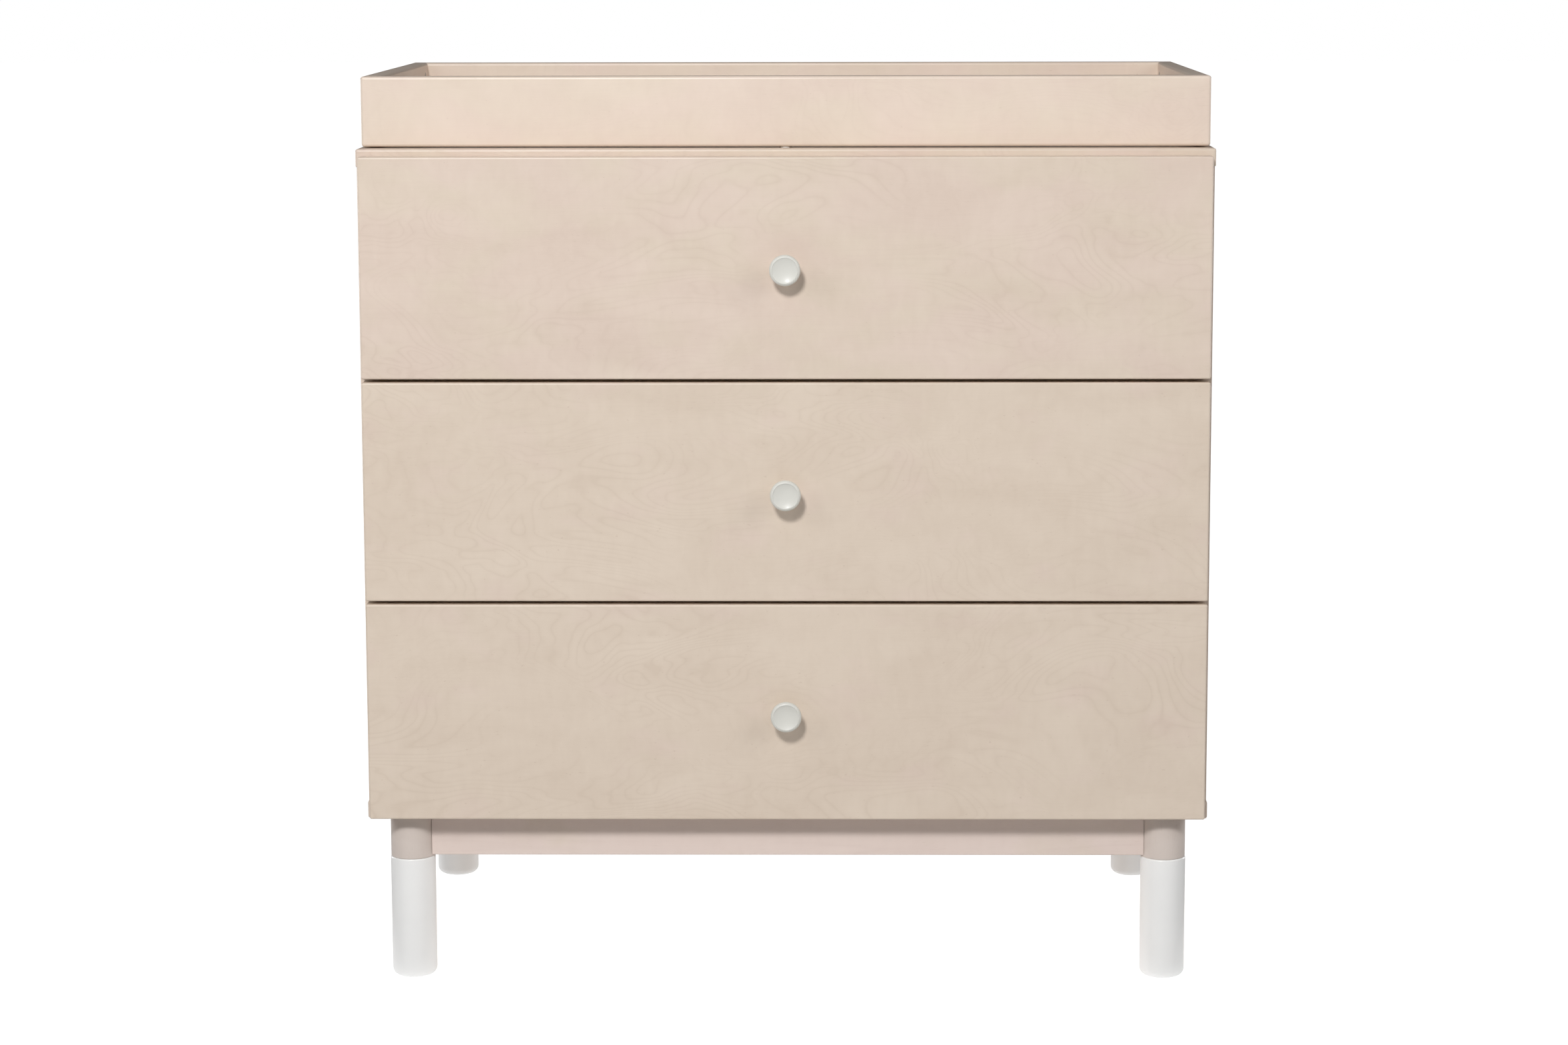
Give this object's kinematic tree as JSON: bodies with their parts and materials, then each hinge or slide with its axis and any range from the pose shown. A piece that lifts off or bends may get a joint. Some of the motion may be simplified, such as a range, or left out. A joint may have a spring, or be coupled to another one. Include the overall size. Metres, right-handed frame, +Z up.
{
  "type": "changing table",
  "caption": "Nursery dresser with full-extension drawers, turned knobs, a leg base with round feet, and a lift-off changing tray held by rear brackets.",
  "frame": {"origin": "on the floor, in the middle of the whole object's footprint, knobs and rear brackets included", "axes": "+Z up, +X to the right as seen from the front; the drawers face and open towards -Y"},
  "size_m": [0.87, 0.515, 0.9375],
  "materials": {
    "washed_wood": "satin lacquer over washed, pale wood veneer",
    "drawer_wood": "clear satin lacquer on pale wood",
    "frame_wood": "plain sanded wood",
    "back_board": "printed thin board",
    "white_lacquer": "white gloss lacquer",
    "zinc_casting": "cast zinc",
    "zinc_plated_steel": "zinc plated",
    "slide_steel": "zinc plated sheet steel",
    "bumper_rubber": "pale soft rubber"
  },
  "bodies": {
    "case": {"top_panel": "washed_wood", "bottom_panel": "washed_wood", "left_side_panel": "washed_wood", "right_side_panel": "washed_wood", "back_panel": "back_board", "front_rails": "frame_wood", "front_apron": "washed_wood", "rear_apron": "washed_wood", "left_apron": "washed_wood", "right_apron": "washed_wood", "front_left_post": "washed_wood", "front_right_post": "washed_wood", "rear_left_post": "washed_wood", "rear_right_post": "washed_wood", "front_left_foot": "white_lacquer", "front_right_foot": "white_lacquer", "rear_left_foot": "white_lacquer", "rear_right_foot": "white_lacquer", "foot_bolts": "zinc_plated_steel", "base_corner_blocks": "frame_wood", "panel_screws": "zinc_plated_steel", "case_cam_locks": "zinc_casting", "case_cam_bolts": "zinc_plated_steel", "case_slide_members": "slide_steel"},
    "tray": {"tray_front_board": "washed_wood", "tray_rear_board": "washed_wood", "tray_left_board": "washed_wood", "tray_right_board": "washed_wood", "tray_cam_locks": "zinc_casting", "tray_cam_bolts": "zinc_plated_steel", "tray_bumpers": "bumper_rubber", "tray_brackets": "slide_steel", "tray_bracket_screws": "zinc_plated_steel"},
    "bottom_drawer": {"bottom_drawer_front": "washed_wood", "bottom_drawer_left_side": "drawer_wood", "bottom_drawer_right_side": "drawer_wood", "bottom_drawer_back": "drawer_wood", "bottom_drawer_bottom": "drawer_wood", "bottom_knob": "white_lacquer", "bottom_knob_screw": "zinc_plated_steel", "bottom_drawer_slide_members": "slide_steel"},
    "bottom_slide_middles": {"bottom_intermediate_members": "slide_steel"},
    "middle_drawer": {"middle_drawer_front": "washed_wood", "middle_drawer_left_side": "drawer_wood", "middle_drawer_right_side": "drawer_wood", "middle_drawer_back": "drawer_wood", "middle_drawer_bottom": "drawer_wood", "middle_knob": "white_lacquer", "middle_knob_screw": "zinc_plated_steel", "middle_drawer_slide_members": "slide_steel"},
    "middle_slide_middles": {"middle_intermediate_members": "slide_steel"},
    "top_drawer": {"top_drawer_front": "washed_wood", "top_drawer_left_side": "drawer_wood", "top_drawer_right_side": "drawer_wood", "top_drawer_back": "drawer_wood", "top_drawer_bottom": "drawer_wood", "top_knob": "white_lacquer", "top_knob_screw": "zinc_plated_steel", "top_drawer_slide_members": "slide_steel"},
    "top_slide_middles": {"top_intermediate_members": "slide_steel"}
  },
  "joints": [
    {"name": "bottom_drawer_slide", "type": "slide", "parent": "case", "child": "bottom_drawer", "axis": [0, -1, 0], "range_m": [0, 0.38]},
    {"name": "bottom_slide_middles_slide", "type": "slide", "parent": "case", "child": "bottom_slide_middles", "axis": [0, -1, 0], "range_m": [0, 0.19]},
    {"name": "middle_drawer_slide", "type": "slide", "parent": "case", "child": "middle_drawer", "axis": [0, -1, 0], "range_m": [0, 0.38]},
    {"name": "middle_slide_middles_slide", "type": "slide", "parent": "case", "child": "middle_slide_middles", "axis": [0, -1, 0], "range_m": [0, 0.19]},
    {"name": "top_drawer_slide", "type": "slide", "parent": "case", "child": "top_drawer", "axis": [0, -1, 0], "range_m": [0, 0.38]},
    {"name": "top_slide_middles_slide", "type": "slide", "parent": "case", "child": "top_slide_middles", "axis": [0, -1, 0], "range_m": [0, 0.19]},
    {"name": "tray_lift", "type": "slide", "parent": "case", "child": "tray", "axis": [0, 0, 1], "range_m": [0, 0.15]}
  ],
  "couplings": [
    {"joint": "bottom_slide_middles_slide", "follows": "bottom_drawer_slide", "ratio": 0.5},
    {"joint": "middle_slide_middles_slide", "follows": "middle_drawer_slide", "ratio": 0.5},
    {"joint": "top_slide_middles_slide", "follows": "top_drawer_slide", "ratio": 0.5}
  ]
}
